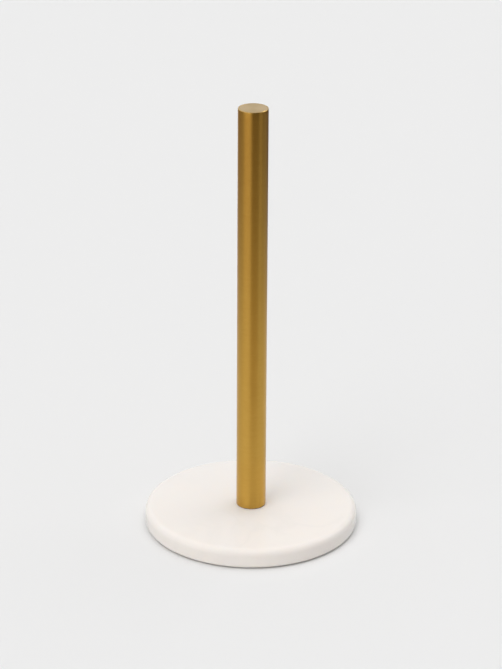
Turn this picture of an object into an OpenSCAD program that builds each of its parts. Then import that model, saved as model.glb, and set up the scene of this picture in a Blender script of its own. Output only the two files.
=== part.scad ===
// Free-standing paper towel holder.
// A straight tube stands on a round marble base and is held by one bolt from below.
// Z = 0 is the table, +Z is up, and the Z axis is the post's own axis.

/* [Marble base] */
// Diameter of the base
base_d = 160; // [150:1:180]
// Thickness of the stone
base_t = 14.5; // [14:0.5:20]
// Radius of the rounded upper rim
base_top_r = 5; // [1:0.5:6]
// Radius of the rounded lower rim
base_bottom_r = 3; // [0.5:0.5:4]
// Diameter of the hole for the bolt
base_hole_d = 9; // [8.5:0.1:10]
// Diameter of the recess for the bolt's head and washers
recess_d = 30; // [26:1:36]
// Depth of that recess
recess_depth = 9; // [8.5:0.5:10]

/* [Post] */
// Outer diameter of the tube
post_d = 22.2; // [20:0.2:26]
// Wall thickness of the tube
post_wall = 1; // [0.8:0.1:1.5]
// Length of the tube
post_l = 315; // [290:1:340]
// Radius of the tube's outer edges
post_edge_r = 0.4; // [0.2:0.1:0.6]
// Thickness of the disc that closes the top
cap_t = 3; // [2:0.5:6]
// Length of the threaded plug in the foot of the tube
plug_l = 20; // [16:1:30]
// How far the plug sits above the tube's lower end
plug_recess = 0.5; // [0.2:0.1:1]
// Gap between the tube's bore and the pieces pressed into it
press_gap = 0.05; // [0.02:0.01:0.08]

/* [Gasket] */
// Diameter of the gasket between post and stone
gasket_d = 21.6; // [18:0.2:22]
// Thickness of that gasket
gasket_t = 0.3; // [0.3:0.1:1]

/* [Bolt and washers] */
// Nominal thread diameter
bolt_d = 8; // [8:0.1:8.2]
// Length of the bolt under its head
bolt_l = 25; // [22:1:30]
// Length of the plain shank under the head
bolt_plain_l = 6; // [5:0.5:8]
// Rise of the thread in one turn
pitch = 1.25; // [1:0.25:1.25]
// Diameter of the domed head
head_d = 14; // [13:0.5:15]
// Height of the domed head
head_h = 4.4; // [4:0.1:4.6]
// Hex key size, across flats
key_af = 5; // [4:0.5:6]
// Depth of the hex socket
key_depth = 2.6; // [2:0.1:3]
// Radial clearance between the bolt's thread and the plug's
thread_clearance = 0.1; // [0.08:0.01:0.12]
// Diameter of the wide flat washer
flat_washer_d = 24; // [20:1:25]
// Thickness of the flat washer
flat_washer_t = 2; // [1.5:0.5:2]
// Diameter of the split lock washer
lock_washer_d = 14.8; // [14:0.2:15]
// Thickness of the lock washer
lock_washer_t = 2; // [1.6:0.1:2]
// Bore of both washers
washer_bore_d = 8.4; // [8.2:0.1:8.6]
// Width of the lock washer's split
split_w = 1.2; // [0.8:0.1:2]

/* [Feet] */
// Diameter of each rubber foot
foot_d = 12; // [8:1:14]
// Height of each rubber foot
foot_t = 0.4; // [0.3:0.1:3]
// Radius of the edge that meets the table
foot_edge_r = 0.15; // [0.1:0.05:0.25]
// Diameter of the circle that the feet stand on
foot_circle_d = 124; // [100:2:126]

/* [Hidden] */
$fn = 96;
FEET = ["foot_right", "foot_back", "foot_left", "foot_front"];

// Heights above the table, from the bottom up.
stone_z = foot_t;
stone_top_z = stone_z + base_t;
recess_top_z = stone_z + recess_depth;
lock_washer_z = recess_top_z - flat_washer_t - lock_washer_t;
shank_z = lock_washer_z;
head_z = shank_z - head_h;
post_z = stone_top_z + gasket_t;
post_top_z = post_z + post_l;

post_bore_r = post_d / 2 - post_wall;
insert_r = post_bore_r - press_gap;
bolt_r = bolt_d / 2;
crest_r = bolt_r - 0.05; // a thread's crests stay a little under its nominal size
root_r = crest_r - 0.6 * pitch;
tip_r = root_r - 0.1;
// The thread's radius over one pitch: a flat root, a flank, a flat crest and a flank.
root_share = 0.18;
flank_share = 0.33;
thread_profile = [
    [0, root_r],
    [root_share, root_r],
    [root_share + flank_share, crest_r],
    [1 - flank_share, crest_r],
    [1, root_r]
];
thread_segments = 24;
head_r = head_d / 2;
head_land_r = 4;
// The head is a slice of a ball: how far the ball's centre lies above the head's seat, and its radius.
dome_rise = (head_r ^ 2 - head_land_r ^ 2 - head_h ^ 2) / (2 * head_h);
dome_r = sqrt(head_r ^ 2 + dome_rise ^ 2);
socket_r = key_af / 2 / cos(30);
cut = 1; // how far a cutting shape runs past the face that it opens

// What rounds a profile's outer corner at [x, y] when it is cut away.
// side is 1 for an upper corner and -1 for a lower one.
module corner_cutter(x, y, radius, side) {
    size = radius + cut;
    translate([x - radius, y - side * radius]) difference() {
        translate([0, side > 0 ? 0 : -size]) square(size);
        circle(r = radius);
    }
}

// A ring turned about Z that stands on height z, with rounded outer edges.
module ring(r_outer, r_inner, z, h, top_r = 0, bottom_r = 0) {
    rotate_extrude() difference() {
        translate([r_inner, z]) square([r_outer - r_inner, h]);
        if (top_r > 0) corner_cutter(r_outer, z + h, top_r, 1);
        if (bottom_r > 0) corner_cutter(r_outer, z, bottom_r, -1);
    }
}

// The radius of the thread at an angle and a height, both counted in turns.
function thread_r(angle, height) = lookup(height - angle - floor(height - angle), thread_profile);

// A right-hand threaded rod about Z, from height z0 to z1. Its radius is larger than the bolt's
// by grow, and its upper end tapers to the radius end_r, which by default is too wide to matter.
// Each column of points follows the helix and is held between the two ends. The helix starts at
// the table, so any two threads made here are in mesh.
module threaded_rod(z0, z1, grow = 0, end_r = 2 * bolt_r) {
    steps = len(thread_profile) - 1;
    first = floor(z0 / pitch) - 1;
    rows = (ceil(z1 / pitch) - first) * steps + 1;
    points = [
        for (i = [0:thread_segments - 1], j = [0:rows - 1])
            let (
                turn = i / thread_segments,
                free_z = (first + floor(j / steps) + thread_profile[j % steps][0] + turn) * pitch,
                z = min(max(free_z, z0), z1),
                r = min(thread_r(turn, z / pitch) + grow, end_r + z1 - z)
            )
                [r * cos(360 * turn), r * sin(360 * turn), z],
        [0, 0, z0],
        [0, 0, z1]
    ];
    bottom = thread_segments * rows;
    top = bottom + 1;
    // Past the last column comes the first one again, a turn higher.
    function at(i, j) = i < thread_segments ? i * rows + j : min(j + steps, rows - 1);
    triangles = [
        for (i = [0:thread_segments - 1])
            each [
                for (j = [0:rows - 2])
                    each [
                        [at(i, j + 1), at(i + 1, j + 1), at(i, j)],
                        [at(i + 1, j + 1), at(i + 1, j), at(i, j)]
                    ],
                [at(i, 0), at(i + 1, 0), bottom],
                [at(i + 1, rows - 1), at(i, rows - 1), top]
            ]
    ];
    // Points held at one end fall together, so triangles between them are left out.
    polyhedron(points, [
        for (t = triangles)
            let (a = points[t[0]], b = points[t[1]], c = points[t[2]])
                if (a != b && b != c && c != a) t
    ]);
}

// The stone, with its bolt hole and the recess for the bolt's head opening downwards.
module marble_base() {
    color("whitesmoke") difference() {
        ring(base_d / 2, base_hole_d / 2, stone_z, base_t, base_top_r, base_bottom_r);
        translate([0, 0, stone_z - cut]) cylinder(d = recess_d, h = recess_depth + cut);
    }
}

module post_tube() {
    color("darkgoldenrod")
        ring(post_d / 2, post_bore_r, post_z, post_l, post_edge_r, post_edge_r);
}

module top_cap() {
    color("tan") translate([0, 0, post_top_z - cap_t]) cylinder(r = insert_r, h = cap_t);
}

module threaded_plug() {
    z = post_z + plug_recess;
    color("silver") difference() {
        translate([0, 0, z]) cylinder(r = insert_r, h = plug_l);
        threaded_rod(z - cut, z + plug_l + cut, thread_clearance);
    }
}

module post_gasket() {
    color("dimgray") ring(gasket_d / 2, base_hole_d / 2, stone_top_z, gasket_t);
}

// The bolt points up: a domed head below, a plain shank, then the thread.
module base_bolt() {
    overlap = 0.5;
    color("gray") difference() {
        union() {
            rotate_extrude() intersection() {
                translate([0, shank_z + dome_rise]) circle(r = dome_r);
                translate([0, head_z]) square([head_r, head_h]);
            }
            translate([0, 0, shank_z - overlap])
                cylinder(r = bolt_r, h = bolt_plain_l + overlap);
            threaded_rod(shank_z + bolt_plain_l - overlap, shank_z + bolt_l, 0, tip_r);
        }
        translate([0, 0, head_z - cut]) cylinder(r = socket_r, h = key_depth + cut, $fn = 6);
    }
}

module lock_washer() {
    color("dimgray") difference() {
        ring(lock_washer_d / 2, washer_bore_d / 2, lock_washer_z, lock_washer_t);
        translate([0, -split_w / 2, lock_washer_z - cut])
            cube([lock_washer_d, split_w, lock_washer_t + 2 * cut]);
    }
}

module flat_washer() {
    z = lock_washer_z + lock_washer_t;
    color("silver") ring(flat_washer_d / 2, washer_bore_d / 2, z, flat_washer_t);
}

module foot(i) {
    color("lightgray") rotate([0, 0, 360 / len(FEET) * i]) translate([foot_circle_d / 2, 0, 0])
        ring(foot_d / 2, 0, 0, foot_t, bottom_r = foot_edge_r);
}

marble_base();
post_tube();
top_cap();
threaded_plug();
post_gasket();
base_bolt();
lock_washer();
flat_washer();
for (i = [0:len(FEET) - 1]) foot(i);
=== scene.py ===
"""Looks of a free-standing paper towel holder: a satin brass post on a round white marble base.

Everything is in metres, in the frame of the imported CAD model: Z = 0 is the table and +Z is up.
The visible turned pieces are built again here with finer rims, inside the CAD pieces they stand for.
"""

import math

import bpy  # noqa: E402
from mathutils import Matrix, Vector  # noqa: E402


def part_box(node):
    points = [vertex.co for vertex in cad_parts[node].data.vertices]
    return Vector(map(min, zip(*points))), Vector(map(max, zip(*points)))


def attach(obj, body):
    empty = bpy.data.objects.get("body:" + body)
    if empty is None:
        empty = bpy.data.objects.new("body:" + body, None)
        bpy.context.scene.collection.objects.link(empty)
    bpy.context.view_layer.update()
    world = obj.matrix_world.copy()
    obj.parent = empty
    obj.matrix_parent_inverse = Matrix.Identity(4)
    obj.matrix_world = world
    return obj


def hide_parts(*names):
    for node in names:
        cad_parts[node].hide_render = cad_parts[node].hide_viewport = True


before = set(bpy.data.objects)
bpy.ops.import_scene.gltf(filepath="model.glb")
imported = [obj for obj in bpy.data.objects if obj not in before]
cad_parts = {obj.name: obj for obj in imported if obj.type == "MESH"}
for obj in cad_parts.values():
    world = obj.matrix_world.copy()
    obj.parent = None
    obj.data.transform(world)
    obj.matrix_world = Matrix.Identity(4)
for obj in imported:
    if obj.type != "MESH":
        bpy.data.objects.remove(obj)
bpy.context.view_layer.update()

MM = 0.001
TINY = 0.0001 * MM  # nearer than this counts as touching
AXIS_R = 0.01 * MM  # the least radius that turned textures reckon with, as they divide by it
ACROSS = 0.25  # of a turn: brushed and lathed metal spreads its highlights across its lines
STAGE_WHITE = 0.847  # linear radiance of the pale floor and of everything behind it


# ---------------------------------------------------------------- shader helpers


def compass(azimuth, elevation=0.0):
    """A direction. Azimuth 0 is the front, where the camera stands, and 90 is the right."""
    a, e = math.radians(azimuth), math.radians(elevation)
    return Vector((math.sin(a) * math.cos(e), -math.cos(a) * math.cos(e), math.sin(e)))


class Shader:
    """A material with one Principled shader, and short names for the nodes that feed it."""

    def __init__(self, name, **constants):
        self.material = bpy.data.materials.new(name)
        self.material.use_nodes = True
        self.tree = self.material.node_tree
        self.principled = self.tree.nodes["Principled BSDF"]
        for socket, value in constants.items():
            self.principled.inputs[socket.replace("_", " ")].default_value = value
        self.place = self.node("ShaderNodeTexCoord").outputs["Object"]

    def node(self, kind, **settings):
        made = self.tree.nodes.new(kind)
        for key, value in settings.items():
            setattr(made, key, value)
        return made

    def feed(self, socket, value):
        """Links value to the socket if it is an output, and otherwise sets it."""
        if isinstance(value, bpy.types.NodeSocket):
            self.tree.links.new(value, socket)
        else:
            socket.default_value = value

    def output(self, socket, value):
        """Feeds one of the Principled shader's inputs."""
        self.feed(self.principled.inputs[socket], value)

    def math(self, operation, *values):
        made = self.node("ShaderNodeMath", operation=operation)
        for socket, value in zip(made.inputs, values):
            self.feed(socket, value)
        return made.outputs[0]

    def noise(self, vector, scale=1.0, detail=3.0, roughness=0.5, distortion=0.0):
        """Smooth random values about 0.5."""
        made = self.node("ShaderNodeTexNoise")
        self.feed(made.inputs["Vector"], vector)
        made.inputs["Scale"].default_value = scale
        made.inputs["Detail"].default_value = detail
        made.inputs["Roughness"].default_value = roughness
        made.inputs["Distortion"].default_value = distortion
        return made.outputs["Fac"]

    def remap(self, value, from_low, from_high, to_low=0.0, to_high=1.0):
        """value moved from one range to the other, and held inside it."""
        made = self.node("ShaderNodeMapRange", clamp=True)
        for socket, x in zip(made.inputs, (value, from_low, from_high, to_low, to_high)):
            self.feed(socket, x)
        return made.outputs[0]

    def mix(self, share, first, second):
        """A colour between first and second."""
        made = self.node("ShaderNodeMix", data_type="RGBA")
        self.feed(made.inputs[0], share)
        for socket, colour in ((made.inputs[6], first), (made.inputs[7], second)):
            self.feed(socket, (*colour, 1.0) if isinstance(colour, tuple) else colour)
        return made.outputs[2]

    def split(self, vector):
        made = self.node("ShaderNodeSeparateXYZ")
        self.feed(made.inputs[0], vector)
        return made.outputs

    def joined(self, x, y, z):
        made = self.node("ShaderNodeCombineXYZ")
        for socket, value in zip(made.inputs, (x, y, z)):
            self.feed(socket, value)
        return made.outputs[0]

    def bump(self, height, depth, strength):
        made = self.node("ShaderNodeBump")
        made.inputs["Strength"].default_value = strength
        made.inputs["Distance"].default_value = depth
        self.feed(made.inputs["Height"], height)
        self.output("Normal", made.outputs[0])

    def radius(self):
        """How far a point lies from the post's axis."""
        x, y, _ = self.split(self.place)
        squares = self.math("ADD", self.math("MULTIPLY", x, x), self.math("MULTIPLY", y, y))
        return self.math("SQRT", squares)

    def turned(self, fine, around):
        """Where a point lies along the lines that a lathe or a brushing belt leaves about the axis.
        fine counts lines for each metre up a side or out along a face, and around says how soon
        they change."""
        x, y, z = self.split(self.place)
        radius = self.math("MAXIMUM", self.radius(), AXIS_R)
        return self.joined(
            self.math("MULTIPLY", self.math("DIVIDE", x, radius), around),
            self.math("MULTIPLY", self.math("DIVIDE", y, radius), around),
            self.math("MULTIPLY", self.math("ADD", radius, z), fine),
        )

    def smooth(self, value, low, high):
        """0 below low, 1 above high, and an S curve between them."""
        made = self.node("ShaderNodeMapRange", interpolation_type="SMOOTHSTEP")
        for socket, x in zip(made.inputs, (value, low, high, 0.0, 1.0)):
            self.feed(socket, x)
        return made.outputs[0]

    def toward(self, azimuth):
        """The cosine of the angle about the post's axis between a point, or a ray, and an azimuth."""
        x, y, _ = self.split(self.place)
        flat = self.node("ShaderNodeVectorMath", operation="NORMALIZE")
        self.feed(flat.inputs[0], self.joined(x, y, 0.0))
        made = self.node("ShaderNodeVectorMath", operation="DOT_PRODUCT")
        self.feed(made.inputs[0], flat.outputs[0])
        self.feed(made.inputs[1], compass(azimuth))
        return made.outputs["Value"]

    def sector(self, azimuth, half_width, softness):
        """1 within half_width degrees of an azimuth, with soft sides."""
        edge = [math.cos(math.radians(half_width + side * softness)) for side in (1, -1)]
        return self.smooth(self.toward(azimuth), *edge)


# ---------------------------------------------------------------- materials

MARBLE_PALE = (0.851, 0.826, 0.805)
MARBLE_WARM = (0.914, 0.856, 0.802)
MARBLE_VEIN = (0.66, 0.65, 0.63)
MARBLE_GRAIN = (0.83, 0.79, 0.755)
MARBLE_DUSTY = (0.72, 0.70, 0.67)
BRASS_LIGHT = (0.575, 0.345, 0.072)
BRASS_DEEP = (0.548, 0.323, 0.065)
BRASS_TARNISH = (0.51, 0.29, 0.054)
BRASS_RIM = (0.78, 0.56, 0.24)
# painted sheen of the flat top, which faces the bright light above
BRASS_TOP_PAINTED_SHEEN = (0.61, 0.455, 0.24)
BRASS_ROUGH = 0.296  # away from the rims it stays above 0.274, below which the denoiser leaves specks
BRASS_ANISOTROPY = 0.75
STEEL_PALE = (0.56, 0.56, 0.57)
STEEL_OILY = (0.42, 0.4, 0.38)
ZINC_PALE = (0.72, 0.74, 0.77)
ZINC_SPANGLE = (0.38, 0.39, 0.42)


def polished_marble(base_r):
    """Warm white, fine-grained marble: faint clouds, a few pale grey veins and a glassy polish, with a
    painted warm tint towards the front that stands in for the warmer light on that side."""
    s = Shader(
        "polished_marble",
        Subsurface_Weight=0.18,
        Subsurface_Scale=0.004,
        Subsurface_Radius=(1.0, 0.8, 0.6),
        IOR=1.5,
        Specular_IOR_Level=0.12,
    )
    clouds = s.noise(s.place, scale=28.0, detail=4.0, distortion=0.4)
    warped = s.noise(s.place, scale=11.0, detail=4.0, distortion=0.6)
    ridge = s.math("ABSOLUTE", s.math("SUBTRACT", warped, 0.5))
    thin = s.remap(ridge, 0.0, 0.03, 1.0, 0.0)
    where = s.remap(s.noise(s.place, scale=7.0, detail=2.0), 0.42, 0.62)
    veins = s.math("MULTIPLY", thin, where)
    grain = s.noise(s.place, scale=1500.0, detail=2.0, roughness=0.7)
    # painted warm tint that grows towards the front: it stands in for the warmer light on that side, and
    # the clouds add the stone's own tone
    painted_front_warmth = s.remap(s.split(s.place)[1], base_r, -base_r, 0.0, 0.8)
    cloud_tone_and_painted_warmth = s.math("ADD", painted_front_warmth, s.remap(clouds, 0.35, 0.68, 0.0, 0.2))
    colour = s.mix(cloud_tone_and_painted_warmth, MARBLE_PALE, MARBLE_WARM)
    colour = s.mix(s.math("MULTIPLY", veins, 0.1), colour, MARBLE_VEIN)
    colour = s.mix(s.remap(grain, 0.3, 0.75, 0.0, 0.12), colour, MARBLE_GRAIN)
    s.output("Base Color", colour)
    rough = s.remap(grain, 0.3, 0.7, 0.1, 0.17)
    s.output("Roughness", s.math("ADD", rough, s.math("MULTIPLY", veins, 0.05)))
    s.bump(s.noise(s.place, scale=420.0, detail=3.0), 0.004 * MM, 0.4)
    return s.material


def sawn_marble():
    """The same stone where it isn't polished: the underside and the drilled recess, with tool rings."""
    s = Shader("sawn_marble", IOR=1.5)
    rings = s.noise(s.turned(2200.0, 1.5), detail=3.0)
    grain = s.noise(s.place, scale=900.0, detail=3.0, roughness=0.7)
    clouds = s.noise(s.place, scale=30.0, detail=4.0)
    colour = s.mix(s.remap(clouds, 0.35, 0.65), MARBLE_PALE, MARBLE_WARM)
    colour = s.mix(s.remap(grain, 0.35, 0.75, 0.0, 0.5), colour, MARBLE_DUSTY)
    colour = s.mix(s.remap(rings, 0.35, 0.7, 0.0, 0.35), colour, MARBLE_DUSTY)
    s.output("Base Color", colour)
    s.output("Roughness", s.remap(grain, 0.3, 0.7, 0.55, 0.75))
    s.bump(s.math("ADD", rings, grain), 0.05 * MM, 0.6)
    return s.material


def satin_brass(top_z, foot_z, outer_r):
    """Brass brushed about the axis and lacquered: fine rings on the side and on the flat top, rubbed
    paler at its rims, and a painted paler sheen on the flat top where it faces the light above."""
    s = Shader("satin_brass", Metallic=1.0, Anisotropic=BRASS_ANISOTROPY, Anisotropic_Rotation=ACROSS)
    fine = s.noise(s.turned(3400.0, 3.0), detail=3.0, roughness=0.6)
    broad = s.noise(s.turned(420.0, 1.3), detail=2.0)
    patches = s.noise(s.place, scale=45.0, detail=2.0, roughness=0.4)
    lines = s.math("ADD", s.math("MULTIPLY", fine, 0.6), s.math("MULTIPLY", broad, 0.4))
    _, _, z = s.split(s.place)
    end = s.math(
        "MAXIMUM",
        s.remap(z, top_z - 0.7 * MM, top_z - 0.1 * MM),
        s.remap(z, foot_z + 0.1 * MM, foot_z + 0.7 * MM, 1.0, 0.0),
    )
    rim = s.math("MULTIPLY", end, s.remap(s.radius(), outer_r - 0.8 * MM, outer_r - 0.3 * MM))
    worn = s.math("MULTIPLY", rim, s.remap(patches, 0.3, 0.55, 0.5, 1.0))
    colour = s.mix(s.remap(lines, 0.36, 0.66), BRASS_DEEP, BRASS_LIGHT)
    colour = s.mix(s.remap(patches, 0.45, 0.8, 0.0, 0.2), colour, BRASS_TARNISH)
    # painted sheen: the flat top is made paler because it faces the bright light above
    painted_top_sheen = s.remap(z, top_z - 0.02 * MM, top_z - 0.005 * MM)
    colour = s.mix(s.math("MULTIPLY", painted_top_sheen, 0.85), colour, BRASS_TOP_PAINTED_SHEEN)
    colour = s.mix(s.math("MULTIPLY", worn, 0.45), colour, BRASS_RIM)
    s.output("Base Color", colour)
    rough = s.remap(lines, 0.32, 0.68, BRASS_ROUGH - 0.012, BRASS_ROUGH + 0.012)
    rough = s.math("ADD", rough, s.remap(patches, 0.35, 0.75, -0.006, 0.014))
    s.output("Roughness", s.math("SUBTRACT", rough, s.math("MULTIPLY", worn, 0.12)))
    s.bump(lines, 0.001 * MM, 0.4)
    return s.material


def turned_steel():
    """Bare steel with the rings that a lathe leaves, a little oily."""
    s = Shader("turned_steel", Metallic=1.0, Anisotropic=0.5, Anisotropic_Rotation=ACROSS)
    lines = s.noise(s.turned(3800.0, 1.5), detail=3.0)
    film = s.noise(s.place, scale=160.0, detail=3.0)
    colour = s.mix(s.remap(film, 0.4, 0.7), STEEL_PALE, STEEL_OILY)
    s.output("Base Color", colour)
    s.output("Roughness", s.remap(lines, 0.35, 0.65, 0.24, 0.42))
    s.bump(lines, 0.01 * MM, 0.5)
    return s.material


def zinc_plate(name, tint, brightness):
    """Zinc-plated steel: a slightly patchy skin, tinted in places, with small spangles."""
    s = Shader(name, Metallic=1.0)
    patches = s.noise(s.place, scale=240.0, detail=4.0, roughness=0.6)
    cells = s.node("ShaderNodeTexVoronoi", feature="F1")
    s.feed(cells.inputs["Vector"], s.place)
    cells.inputs["Scale"].default_value = 1400.0
    spangle = s.split(cells.outputs["Color"])[0]
    pale = tuple(c * brightness for c in ZINC_PALE)
    colour = s.mix(s.remap(patches, 0.35, 0.7), pale, tint)
    colour = s.mix(s.math("MULTIPLY", spangle, 0.18), colour, ZINC_SPANGLE)
    s.output("Base Color", colour)
    rough = s.remap(patches, 0.3, 0.7, 0.26, 0.38)
    s.output("Roughness", s.math("ADD", rough, s.math("MULTIPLY", spangle, 0.06)))
    s.bump(s.noise(s.place, scale=2600.0, detail=2.0), 0.008 * MM, 0.5)
    return s.material


def rubber(name, colour, speck, roughness):
    """Moulded rubber with a fine pebbled skin, pale specks of dust and a paler, duller bloom."""
    s = Shader(name, IOR=1.5)
    bloom = s.noise(s.place, scale=190.0, detail=3.0)
    dust = s.noise(s.place, scale=2400.0, detail=2.0)
    shade = s.mix(s.remap(bloom, 0.3, 0.7), colour, tuple(c * 1.25 for c in colour))
    s.output("Base Color", s.mix(s.remap(dust, 0.66, 0.78, 0.0, 0.5), shade, speck))
    s.output("Roughness", s.remap(bloom, 0.3, 0.7, roughness, roughness + 0.15))
    s.bump(s.noise(s.place, scale=1800.0, detail=3.0), 0.02 * MM, 0.6)
    return s.material


# ---------------------------------------------------------------- turned pieces

SHARP_ANGLE = math.radians(35)  # edges that turn by more than this stay crisp
POST_SEGMENTS = 160
STONE_SEGMENTS = 256
ROOM_SEGMENTS = 96


def arc(centre_r, centre_z, radius, start, stop, steps):
    """Points of an arc in a turned piece's profile, from angle start to stop in degrees."""
    angles = [math.radians(start + (stop - start) * i / steps) for i in range(steps + 1)]
    return [(centre_r + radius * math.cos(a), centre_z + radius * math.sin(a)) for a in angles]


def turned_piece(name, profile, materials, segments, closed=True, slot_of=None):
    """Turns a profile of (radius, height) points about the Z axis into a mesh. A closed profile makes
    a ring, and an open one a surface between its two ends. The profile runs counter-clockwise, so that
    the faces look outwards. slot_of gives the material's number for the strip between two points."""
    vertices, rows = [], []
    for r, z in profile:
        if r == 0:
            rows.append([len(vertices)] * segments)
            vertices.append((0.0, 0.0, z))
            continue
        rows.append(list(range(len(vertices), len(vertices) + segments)))
        for i in range(segments):
            a = 2 * math.pi * i / segments
            vertices.append((r * math.cos(a), r * math.sin(a), z))
    faces, slots = [], []
    strips = len(profile) if closed else len(profile) - 1
    for k in range(strips):
        following = (k + 1) % len(profile)
        low, high = rows[k], rows[following]
        slot = slot_of(profile[k], profile[following]) if slot_of else 0
        for i in range(segments):
            j = (i + 1) % segments
            # On the axis two corners are the same one, and the face is a triangle.
            faces.append(list(dict.fromkeys([low[i], low[j], high[j], high[i]])))
            slots.append(slot)
    mesh = bpy.data.meshes.new(name)
    mesh.from_pydata(vertices, [], faces)
    for material in materials:
        mesh.materials.append(material)
    mesh.polygons.foreach_set("material_index", slots)
    mesh.shade_smooth()
    mesh.set_sharp_from_angle(angle=SHARP_ANGLE)
    mesh.validate()
    piece = bpy.data.objects.new(name, mesh)
    bpy.context.scene.collection.objects.link(piece)
    return piece


def carried_by(piece, body, node):
    """piece stands for a CAD node, whose mesh it hides, and rides on its body."""
    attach(piece, body)
    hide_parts(node)


tube_low, tube_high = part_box("post_tube")
cap_low, cap_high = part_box("top_cap")
base_low, base_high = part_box("marble_base")
_, washer_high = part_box("flat_washer")

# Sizes of the CAD pieces that their boxes don't tell.
TUBE_WALL = 1.0 * MM
TUBE_EDGE = 0.4 * MM
RIM_TOP = 5.0 * MM
RIM_BOTTOM = 3.0 * MM
HOLE_R = 4.5 * MM
RECESS_R = 15.0 * MM

# What only the looks have: small bevels, and rings of vertices between a piece's ends.
ARRIS = 0.25 * MM  # on drilled edges in the stone
CAP_ARRIS = 0.06 * MM  # on both sides of the fine line round the cap
TUBE_RINGS = (0.02, 0.1, 0.2, 0.35, 0.5, 0.65, 0.8, 0.9, 0.98)  # shares of the tube's length
CAP_RINGS = (0.66, 0.33)  # shares of the cap's radius
STONE_RINGS = (0.9, 0.75, 0.6, 0.45, 0.3, 0.2)  # shares of the stone's radius

tube_r = tube_high.x
cap_r = cap_high.x
base_r = base_high.x
brass = satin_brass(tube_high.z, tube_low.z, tube_r)
stone = polished_marble(base_r)
stone_cut = sawn_marble()

# The tube: a ring with rounded outer edges and a square bore.
bore_r = tube_r - TUBE_WALL
tube = turned_piece(
    "brass_tube",
    arc(tube_r - TUBE_EDGE, tube_low.z + TUBE_EDGE, TUBE_EDGE, -90, 0, 8)
    + [(tube_r, tube_low.z + (tube_high.z - tube_low.z) * share) for share in TUBE_RINGS]
    + arc(tube_r - TUBE_EDGE, tube_high.z - TUBE_EDGE, TUBE_EDGE, 0, 90, 8)
    + [
        (bore_r + CAP_ARRIS, tube_high.z),
        (bore_r, tube_high.z - CAP_ARRIS),
        (bore_r, tube_low.z),
    ],
    [brass],
    segments=POST_SEGMENTS,
)
carried_by(tube, "post", "post_tube")

# The disc that closes the top, flush with the tube's end.
cap = turned_piece(
    "brass_cap",
    [
        (0, cap_low.z),
        (cap_r, cap_low.z),
        (cap_r, cap_high.z - CAP_ARRIS),
        (cap_r - CAP_ARRIS, cap_high.z),
        *[(cap_r * share, cap_high.z) for share in CAP_RINGS],
        (0, cap_high.z),
    ],
    [brass],
    segments=POST_SEGMENTS,
    closed=False,
)
carried_by(cap, "post", "top_cap")

# The stone: polished outside, sawn below and drilled for the bolt and its washers.
recess_z = washer_high.z
stone_profile = (
    [(RECESS_R + ARRIS, base_low.z)]
    + [(base_r * share, base_low.z) for share in reversed(STONE_RINGS[:-1])]
    + arc(base_r - RIM_BOTTOM, base_low.z + RIM_BOTTOM, RIM_BOTTOM, -90, 0, 10)
    + arc(base_r - RIM_TOP, base_high.z - RIM_TOP, RIM_TOP, 0, 90, 16)
    + [(base_r * share, base_high.z) for share in STONE_RINGS]
    + [
        (HOLE_R + ARRIS, base_high.z),
        (HOLE_R, base_high.z - ARRIS),
        (HOLE_R, recess_z),
        (RECESS_R, recess_z),
        (RECESS_R, base_low.z + ARRIS),
    ]
)


def stone_slot(start, end):
    """1, the sawn stone, for the underside, the recess and the hole, and 0 for what is polished."""
    below = max(start[1], end[1]) <= base_low.z + TINY
    drilled = max(start[0], end[0]) <= RECESS_R + ARRIS + TINY
    under_top = min(start[1], end[1]) < base_high.z - TINY
    return 1 if below or (drilled and under_top) else 0


base = turned_piece(
    "marble_disc",
    stone_profile,
    [stone, stone_cut],
    segments=STONE_SEGMENTS,
    slot_of=stone_slot,
)
carried_by(base, "base", "marble_base")

# The pieces that keep their CAD shape get finer materials.
finishes = {
    "threaded_plug": turned_steel(),
    "post_gasket": rubber("gasket_rubber", (0.09, 0.06, 0.04), (0.3, 0.28, 0.25), roughness=0.55),
    "base_bolt": zinc_plate("zinc_bolt", (0.62, 0.66, 0.74), brightness=1.0),
    "lock_washer": zinc_plate("zinc_lock_washer", (0.5, 0.48, 0.42), brightness=0.8),
    "flat_washer": zinc_plate("zinc_flat_washer", (0.64, 0.64, 0.66), brightness=0.95),
}
foot_rubber = rubber("foot_rubber", (0.4, 0.4, 0.39), (0.65, 0.65, 0.65), roughness=0.4)
finishes.update({node: foot_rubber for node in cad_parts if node.startswith("foot_")})
for node, material in finishes.items():
    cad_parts[node].material_slots[0].material = material


# ---------------------------------------------------------------- floor, light and camera

FLOOR_HALF = 30.0  # far past the edges of the picture

floor_paint = Shader(
    "floor_paint",
    Base_Color=(0.8, 0.8, 0.8, 1.0),
    Roughness=0.9,
    Specular_IOR_Level=0.0,
)
floor_mesh = bpy.data.meshes.new("floor")
floor_corners = [(FLOOR_HALF * x, FLOOR_HALF * y, 0.0) for x, y in ((-1, -1), (1, -1), (1, 1), (-1, 1))]
floor_mesh.from_pydata(floor_corners, [], [(0, 1, 2, 3)])
floor_mesh.materials.append(floor_paint.material)
floor = bpy.data.objects.new("floor", floor_mesh)
bpy.context.scene.collection.objects.link(floor)

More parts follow.
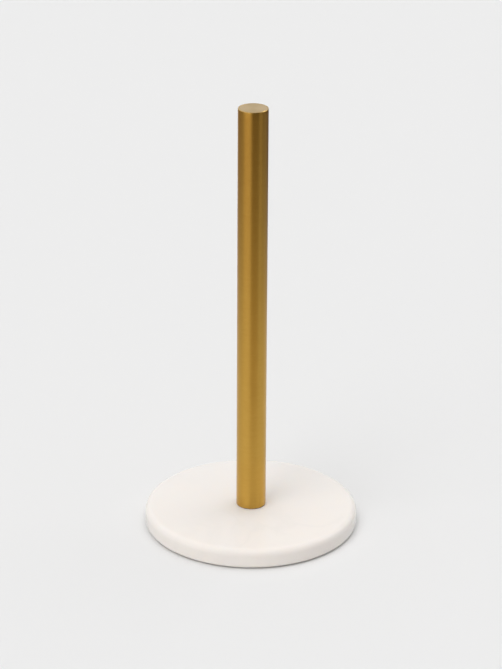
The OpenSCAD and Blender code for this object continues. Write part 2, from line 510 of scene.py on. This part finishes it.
# What metal and polish mirror round the table: the paleness of the floor fades out into a dark, warm room.
# Only mirrored rays see it.
FADE_RADIUS = 0.55  # metres from the axis: half of the paleness is left here
FADE_POWER = 5.0
ROOM_INNER, ROOM_OUTER, ROOM_Z = 0.2, 12.0, 0.002  # a flat ring just above the floor
ROOM_DARK = (0.04, 0.018, 0.006)
WARM_FLOOR = (0.78, 0.67, 0.49)  # the paleness turns to this in the warm sector, before it fades
WARM_SECTOR = (16, 26, 14)  # azimuth, half width, softness
FLOOR_GLOWS = (  # azimuth, half width, softness, colour
    (-155, 22, 12, (0.46, 0.38, 0.28)),
    (-100, 36, 20, (0.2, 0.13, 0.075)),
    (-40, 24, 16, (0.4, 0.25, 0.12)),
    (60, 9, 9, (0.13, 0.08, 0.05)),
    (120, 34, 20, (0.08, 0.045, 0.045)),
)
room_paint = Shader(
    "room_paint",
    Base_Color=(0.0, 0.0, 0.0, 1.0),
    Roughness=1.0,
    Emission_Strength=1.0,
)
dark = ROOM_DARK
for azimuth, half_width, softness, glow in FLOOR_GLOWS:
    dark = room_paint.mix(room_paint.sector(azimuth, half_width, softness), dark, glow)
pale = room_paint.mix(room_paint.sector(*WARM_SECTOR), (STAGE_WHITE,) * 3, WARM_FLOOR)
distance = room_paint.math("DIVIDE", room_paint.radius(), FADE_RADIUS)
reach = room_paint.math("POWER", distance, FADE_POWER)
fade = room_paint.math("DIVIDE", 1.0, room_paint.math("ADD", reach, 1.0))
room_paint.output("Emission Color", room_paint.mix(fade, dark, pale))
room = turned_piece(
    "dark_room",
    [(ROOM_INNER, ROOM_Z), (ROOM_OUTER, ROOM_Z)],
    [room_paint.material],
    segments=ROOM_SEGMENTS,
    closed=False,
)
room.visible_camera = False
room.visible_diffuse = False
room.visible_shadow = False
room.visible_transmission = False


def sun(name, azimuth, elevation, width, strength, colour):
    """A soft lamp far away. Mirrored rays see the soft boxes below instead of it."""
    light = bpy.data.lights.new(name, "SUN")
    light.energy = strength
    light.angle = math.radians(width)
    light.color = colour
    lamp = bpy.data.objects.new(name, light)
    lamp.rotation_mode = "QUATERNION"
    lamp.rotation_quaternion = compass(azimuth, elevation).to_track_quat("Z", "Y")
    lamp.visible_glossy = False
    bpy.context.scene.collection.objects.link(lamp)


sun("overhead", 180, 84, 60, 1.25, (1.0, 1.0, 1.0))
sun("key", -44, 56, 36, 0.6, (1.0, 0.995, 0.99))
sun("front", -34, 15, 36, 0.5, (1.0, 0.99, 0.975))
sun("back", 130, 42, 50, 0.36, (1.0, 1.0, 1.0))

# The air round the stage: pale where the camera sees it, a weaker light on the object, and in mirrored
# rays a studio that is pale behind and dark in front, with soft boxes round it and a dim, wide one high
# up in front.
AIR_LIGHT = 0.39
BACK_BLEND = (-0.3, 0.4)  # cosines of the angle from the back: dark up to the first, pale from the second
BAND_SOFTNESS = 0.1
BOXES = (  # azimuth, half width, softness, lowest and highest point, brightness
    (0, 75, 30, 0.34, 0.9, 0.42),
    (-100, 34, 20, -0.2, 0.6, 0.9),
    (-42, 24, 16, -0.2, 0.4, 2.4),
    (60, 9, 9, -0.2, 0.6, 0.85),
    (130, 40, 20, -0.2, 0.6, 0.7),
    (112, 22, 12, 0.4, 0.75, 3.0),
)
world = bpy.data.worlds.new("studio")
bpy.context.scene.world = world
world.use_nodes = True


class Sky(Shader):
    """The same short names, for the world's nodes."""

    def __init__(self, tree):
        self.tree = tree
        self.place = self.node("ShaderNodeTexCoord").outputs["Generated"]


sky = Sky(world.node_tree)
height = sky.split(sky.place)[2]
mirrored = sky.mix(sky.smooth(sky.toward(180), *BACK_BLEND), ROOM_DARK, (STAGE_WHITE,) * 3)
for azimuth, half_width, softness, low, high, brightness in BOXES:
    above = sky.smooth(height, low - BAND_SOFTNESS, low + BAND_SOFTNESS)
    below = sky.smooth(height, high + BAND_SOFTNESS, high - BAND_SOFTNESS)
    band = sky.math("MULTIPLY", above, below)
    glow = sky.math("MULTIPLY", sky.sector(azimuth, half_width, softness), band)
    mirrored = sky.mix(glow, mirrored, (brightness,) * 3)
path = sky.node("ShaderNodeLightPath").outputs
lit = sky.mix(path["Is Glossy Ray"], (AIR_LIGHT,) * 3, mirrored)
shown = sky.mix(path["Is Camera Ray"], lit, (STAGE_WHITE,) * 3)
sky.feed(world.node_tree.nodes["Background"].inputs["Color"], shown)

# The camera: how far in front and how high, in radii of the base, how it is turned, and its lens in mm.
CAM_FRONT = 24.41
CAM_HEIGHT = 12.314
CAM_PITCH = math.radians(23.059)
CAM_ROLL = math.radians(0.33)
CAM_YAW = math.radians(-0.0207)
CAM_LENS = 154.28

camera_data = bpy.data.cameras.new("camera")
camera_data.lens = CAM_LENS
camera_data.clip_start = 0.05
camera_data.clip_end = 100.0
camera = bpy.data.objects.new("camera", camera_data)
forward = Vector(
    (
        math.sin(CAM_YAW) * math.cos(CAM_PITCH),
        math.cos(CAM_YAW) * math.cos(CAM_PITCH),
        -math.sin(CAM_PITCH),
    )
)
level = Vector((math.cos(CAM_YAW), -math.sin(CAM_YAW), 0.0))
upright = level.cross(forward)
right = math.cos(CAM_ROLL) * level + math.sin(CAM_ROLL) * upright
up = -math.sin(CAM_ROLL) * level + math.cos(CAM_ROLL) * upright
spot = Vector((0.0, -CAM_FRONT * base_r, CAM_HEIGHT * base_r))
camera.matrix_world = Matrix.Translation(spot) @ Matrix((right, up, -forward)).transposed().to_4x4()
bpy.context.scene.collection.objects.link(camera)
bpy.context.scene.camera = camera

bpy.context.scene.view_settings.view_transform = "Standard"
bpy.context.scene.view_settings.look = "None"
